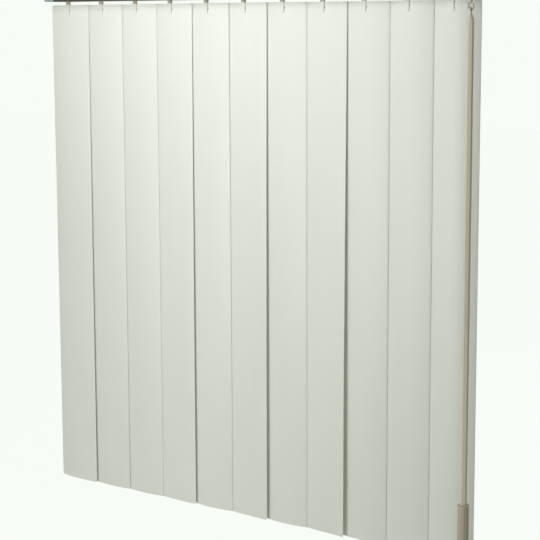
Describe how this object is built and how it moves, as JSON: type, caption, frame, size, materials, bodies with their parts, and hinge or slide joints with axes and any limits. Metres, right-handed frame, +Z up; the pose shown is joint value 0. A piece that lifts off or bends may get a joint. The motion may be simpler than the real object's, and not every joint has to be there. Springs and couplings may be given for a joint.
{
  "type": "vertical blind",
  "caption": "Vertical blind of bowed ivory plastic vanes that hang closed and lapping from a shallow headrail and are turned by a hanging wand through a geared tilt rod.",
  "frame": {"origin": "on the ceiling plane, midway between the holes of the two brackets", "axes": "+X along the headrail to the right as seen from the room, +Y towards the window, +Z up"},
  "size_m": [0.8783, 0.074, 0.912],
  "materials": {
    "vane_plastic": "ivory sheet with a satin face",
    "stem_plastic": "beige moulding",
    "wand_plastic": "taupe moulding",
    "cap_plastic": "blue-grey moulding",
    "carrier_plastic": "white slippery moulding",
    "gear_plastic": "cream moulding",
    "rail_metal": "satin extrusion",
    "rod_metal": "drawn bar",
    "steel": "plated sheet"
  },
  "bodies": {
    "rail": {"headrail": "rail_metal", "idle_end_cap": "cap_plastic", "control_housing": "cap_plastic", "control_cover": "cap_plastic", "bracket_left": "steel", "bracket_right": "steel", "rail_screws": "steel", "cover_screws": "steel", "spacer_links": "steel", "carrier_01": "carrier_plastic", "carrier_02": "carrier_plastic", "carrier_03": "carrier_plastic", "carrier_04": "carrier_plastic", "carrier_05": "carrier_plastic", "carrier_06": "carrier_plastic", "carrier_07": "carrier_plastic", "carrier_08": "carrier_plastic", "carrier_09": "carrier_plastic", "carrier_10": "carrier_plastic", "carrier_11": "carrier_plastic"},
    "tilt_shaft": {"tilt_rod": "rod_metal", "rod_bevel": "gear_plastic", "worm_01": "gear_plastic", "worm_02": "gear_plastic", "worm_03": "gear_plastic", "worm_04": "gear_plastic", "worm_05": "gear_plastic", "worm_06": "gear_plastic", "worm_07": "gear_plastic", "worm_08": "gear_plastic", "worm_09": "gear_plastic", "worm_10": "gear_plastic", "worm_11": "gear_plastic"},
    "cross_drive": {"cross_shaft": "gear_plastic"},
    "wand_drive": {"wand_hook": "wand_plastic"},
    "wand": {"wand_rod": "wand_plastic", "wand_grip": "wand_plastic"},
    "vane_set_01": {"stem_01": "stem_plastic", "vane_01": "vane_plastic"},
    "vane_set_02": {"stem_02": "stem_plastic", "vane_02": "vane_plastic"},
    "vane_set_03": {"stem_03": "stem_plastic", "vane_03": "vane_plastic"},
    "vane_set_04": {"stem_04": "stem_plastic", "vane_04": "vane_plastic"},
    "vane_set_05": {"stem_05": "stem_plastic", "vane_05": "vane_plastic"},
    "vane_set_06": {"stem_06": "stem_plastic", "vane_06": "vane_plastic"},
    "vane_set_07": {"stem_07": "stem_plastic", "vane_07": "vane_plastic"},
    "vane_set_08": {"stem_08": "stem_plastic", "vane_08": "vane_plastic"},
    "vane_set_09": {"stem_09": "stem_plastic", "vane_09": "vane_plastic"},
    "vane_set_10": {"stem_10": "stem_plastic", "vane_10": "vane_plastic"},
    "vane_set_11": {"stem_11": "stem_plastic", "vane_11": "vane_plastic"}
  },
  "joints": [
    {"name": "vane_turn_01", "type": "hinge", "parent": "rail", "child": "vane_set_01", "pos_m": [-0.38, 0, -0.03], "axis": [0, 0, 1], "range_deg": [-163.64, 0]},
    {"name": "vane_turn_02", "type": "hinge", "parent": "rail", "child": "vane_set_02", "pos_m": [-0.304, 0, -0.03], "axis": [0, 0, 1], "range_deg": [-163.64, 0]},
    {"name": "vane_turn_03", "type": "hinge", "parent": "rail", "child": "vane_set_03", "pos_m": [-0.228, 0, -0.03], "axis": [0, 0, 1], "range_deg": [-163.64, 0]},
    {"name": "vane_turn_04", "type": "hinge", "parent": "rail", "child": "vane_set_04", "pos_m": [-0.152, 0, -0.03], "axis": [0, 0, 1], "range_deg": [-163.64, 0]},
    {"name": "vane_turn_05", "type": "hinge", "parent": "rail", "child": "vane_set_05", "pos_m": [-0.076, 0, -0.03], "axis": [0, 0, 1], "range_deg": [-163.64, 0]},
    {"name": "vane_turn_06", "type": "hinge", "parent": "rail", "child": "vane_set_06", "pos_m": [0, 0, -0.03], "axis": [0, 0, 1], "range_deg": [-163.64, 0]},
    {"name": "vane_turn_07", "type": "hinge", "parent": "rail", "child": "vane_set_07", "pos_m": [0.076, 0, -0.03], "axis": [0, 0, 1], "range_deg": [-163.64, 0]},
    {"name": "vane_turn_08", "type": "hinge", "parent": "rail", "child": "vane_set_08", "pos_m": [0.152, 0, -0.03], "axis": [0, 0, 1], "range_deg": [-163.64, 0]},
    {"name": "vane_turn_09", "type": "hinge", "parent": "rail", "child": "vane_set_09", "pos_m": [0.228, 0, -0.03], "axis": [0, 0, 1], "range_deg": [-163.64, 0]},
    {"name": "vane_turn_10", "type": "hinge", "parent": "rail", "child": "vane_set_10", "pos_m": [0.304, 0, -0.03], "axis": [0, 0, 1], "range_deg": [-163.64, 0]},
    {"name": "vane_turn_11", "type": "hinge", "parent": "rail", "child": "vane_set_11", "pos_m": [0.38, 0, -0.03], "axis": [0, 0, 1], "range_deg": [-163.64, 0]},
    {"name": "tilt_turn", "type": "hinge", "parent": "rail", "child": "tilt_shaft", "pos_m": [0, -0.0095, -0.02225], "axis": [1, 0, 0], "range_deg": [-1801, 0]},
    {"name": "cross_turn", "type": "hinge", "parent": "rail", "child": "cross_drive", "pos_m": [0.43, -0.025, -0.02225], "axis": [0, 1, 0], "range_deg": [0, 1801]},
    {"name": "wand_turn", "type": "hinge", "parent": "rail", "child": "wand_drive", "pos_m": [0.43, -0.04, -0.035], "axis": [0, 0, 1], "range_deg": [0, 1801]},
    {"name": "wand_swing", "type": "hinge", "parent": "wand_drive", "child": "wand", "pos_m": [0.43, -0.04, -0.05261], "axis": [-1, 0, 0], "range_deg": [0, 45]}
  ],
  "couplings": [
    {"joint": "vane_turn_01", "follows": "vane_turn_06", "ratio": 1},
    {"joint": "vane_turn_02", "follows": "vane_turn_06", "ratio": 1},
    {"joint": "vane_turn_03", "follows": "vane_turn_06", "ratio": 1},
    {"joint": "vane_turn_04", "follows": "vane_turn_06", "ratio": 1},
    {"joint": "vane_turn_05", "follows": "vane_turn_06", "ratio": 1},
    {"joint": "vane_turn_07", "follows": "vane_turn_06", "ratio": 1},
    {"joint": "vane_turn_08", "follows": "vane_turn_06", "ratio": 1},
    {"joint": "vane_turn_09", "follows": "vane_turn_06", "ratio": 1},
    {"joint": "vane_turn_10", "follows": "vane_turn_06", "ratio": 1},
    {"joint": "vane_turn_11", "follows": "vane_turn_06", "ratio": 1},
    {"joint": "tilt_turn", "follows": "vane_turn_06", "ratio": 11},
    {"joint": "cross_turn", "follows": "vane_turn_06", "ratio": -11},
    {"joint": "wand_turn", "follows": "vane_turn_06", "ratio": -11}
  ]
}
